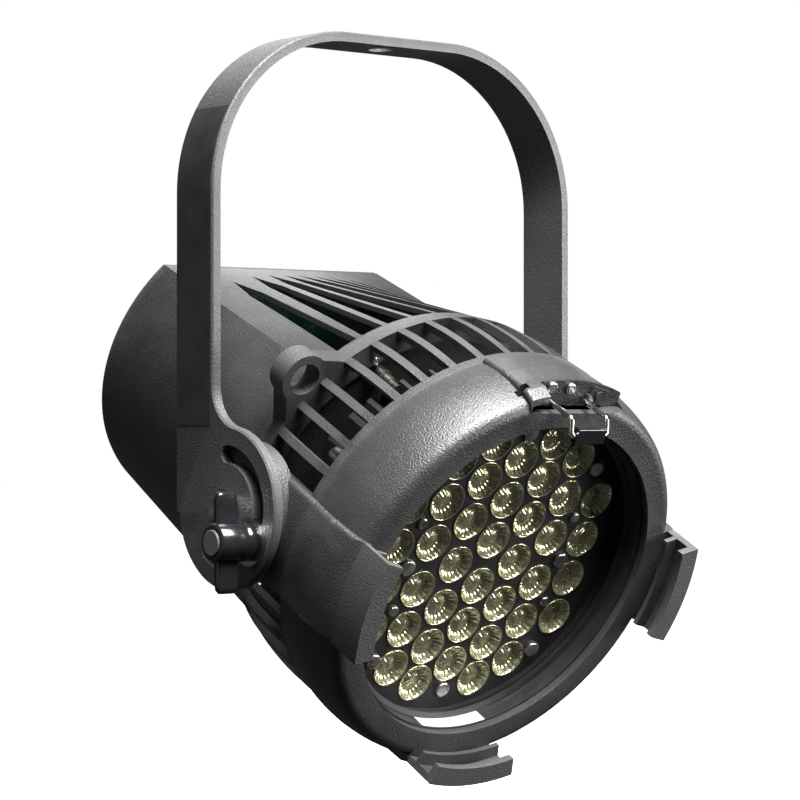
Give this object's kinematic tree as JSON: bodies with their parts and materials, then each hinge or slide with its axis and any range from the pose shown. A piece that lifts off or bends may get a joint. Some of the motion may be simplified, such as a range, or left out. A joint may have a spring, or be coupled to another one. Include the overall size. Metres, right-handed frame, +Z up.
{
  "type": "par can light",
  "caption": "Stage wash light: a vented round head with a cellular lens array and accessory clips, tilting in a flat bar yoke with a side lock knob.",
  "frame": {"origin": "centre of the hanging hole on the top face of the yoke", "axes": "+Z up along the hanging hole, X along the tilt axis, the light leans out towards -Y"},
  "size_m": [0.2594, 0.3097, 0.3659],
  "materials": {
    "yoke_paint": "fine black textured powder coat",
    "dark_decal": "smooth dark film",
    "bronze": "plain bearing bronze",
    "zinc_steel": "zinc plated",
    "fibre": "dry friction fibre",
    "housing_coat": "black textured powder coat over a casting",
    "casting_coat": "black textured powder coat over a casting",
    "bracket_paint": "black satin paint",
    "shroud_black": "moulded black",
    "gold_reflector": "metallised olive gold",
    "clear_glass": "clear",
    "gasket_rubber": "black",
    "white_label": "plain white film",
    "board_white": "white solder mask",
    "emitter_yellow": "phosphor",
    "bare_aluminium": "black anodised fins",
    "gland_nickel": "nickel plated",
    "fan_plastic": "moulded black",
    "tray_steel": "galvanised sheet",
    "supply_case": "sheet cased unit",
    "board_green": "green solder mask",
    "panel_paint": "black powder coat",
    "display_black": "tinted window",
    "socket_blue": "moulded insert",
    "socket_metal": "black plated",
    "knob_gloss": "glossy black",
    "cap_matte": "fine matt",
    "bright_washer": "bright",
    "bright_wire": "bright",
    "button_grey": "moulded key"
  },
  "bodies": {
    "yoke": {"yoke_bar": "yoke_paint", "yoke_label": "dark_decal", "pivot_bushes": "bronze"},
    "head": {"pivot_bolts": "zinc_steel", "friction_discs": "fibre", "rear_housing": "housing_coat", "vent_cage": "casting_coat", "front_bell": "casting_coat", "accessory_clip_right": "casting_coat", "accessory_clip_left": "casting_coat", "accessory_clip_bottom": "casting_coat", "latch_bracket": "bracket_paint", "latch_screws": "zinc_steel", "latch_plate": "bracket_paint", "light_shroud": "shroud_black", "lens_plate": "shroud_black", "lens_cups": "gold_reflector", "plate_screws": "zinc_steel", "front_glass": "clear_glass", "glass_gasket": "gasket_rubber", "shroud_label": "white_label", "led_board": "board_white", "led_emitters": "emitter_yellow", "heat_sink": "bare_aluminium", "bell_posts": "zinc_steel", "bulkhead": "bracket_paint", "cage_screws": "zinc_steel", "wire_gland": "gland_nickel", "fan_frame": "fan_plastic", "chassis_tray": "tray_steel", "power_supply": "supply_case", "control_board": "board_green", "board_spacers": "gland_nickel", "rear_panel": "panel_paint", "display_window": "display_black", "power_inlet": "socket_blue", "data_connectors": "socket_metal", "rear_panel_screws": "zinc_steel"},
    "knob": {"lock_knob": "knob_gloss", "knob_cap": "cap_matte", "lock_stud": "zinc_steel", "knob_washers": "bright_washer"},
    "bail": {"latch_bail": "bright_wire", "latch_tab": "knob_gloss"},
    "fan": {"cooling_fan": "fan_plastic"},
    "key_1": {"menu_button_1": "button_grey"},
    "key_2": {"menu_button_2": "button_grey"},
    "key_3": {"menu_button_3": "button_grey"},
    "key_4": {"menu_button_4": "button_grey"}
  },
  "joints": [
    {"name": "head_tilt", "type": "hinge", "parent": "yoke", "child": "head", "pos_m": [0, -0.0255, -0.2307], "axis": [1, 0, 0], "range_deg": [-123, 90]},
    {"name": "lock_knob_turn", "type": "hinge", "parent": "head", "child": "knob", "pos_m": [-0.1168, -0.04631, -0.24527], "axis": [1, 0, 0], "range_deg": [0, 180]},
    {"name": "latch_bail_swing", "type": "hinge", "parent": "head", "child": "bail", "pos_m": [0, -0.13528, -0.18023], "axis": [-1, 0, 0], "range_deg": [0, 80]},
    {"name": "fan_spin", "type": "hinge", "parent": "head", "child": "fan", "pos_m": [0, -0.00417, -0.21969], "axis": [0, -0.8886, -0.4587], "continuous": true},
    {"name": "key_press_1", "type": "slide", "parent": "head", "child": "key_1", "axis": [0, -0.8886, -0.4587], "range_m": [0, 0.001], "stiffness_N_per_m": 400, "springref_m": -0.0005},
    {"name": "key_press_2", "type": "slide", "parent": "head", "child": "key_2", "axis": [0, -0.8886, -0.4587], "range_m": [0, 0.001], "stiffness_N_per_m": 400, "springref_m": -0.0005},
    {"name": "key_press_3", "type": "slide", "parent": "head", "child": "key_3", "axis": [0, -0.8886, -0.4587], "range_m": [0, 0.001], "stiffness_N_per_m": 400, "springref_m": -0.0005},
    {"name": "key_press_4", "type": "slide", "parent": "head", "child": "key_4", "axis": [0, -0.8886, -0.4587], "range_m": [0, 0.001], "stiffness_N_per_m": 400, "springref_m": -0.0005}
  ]
}
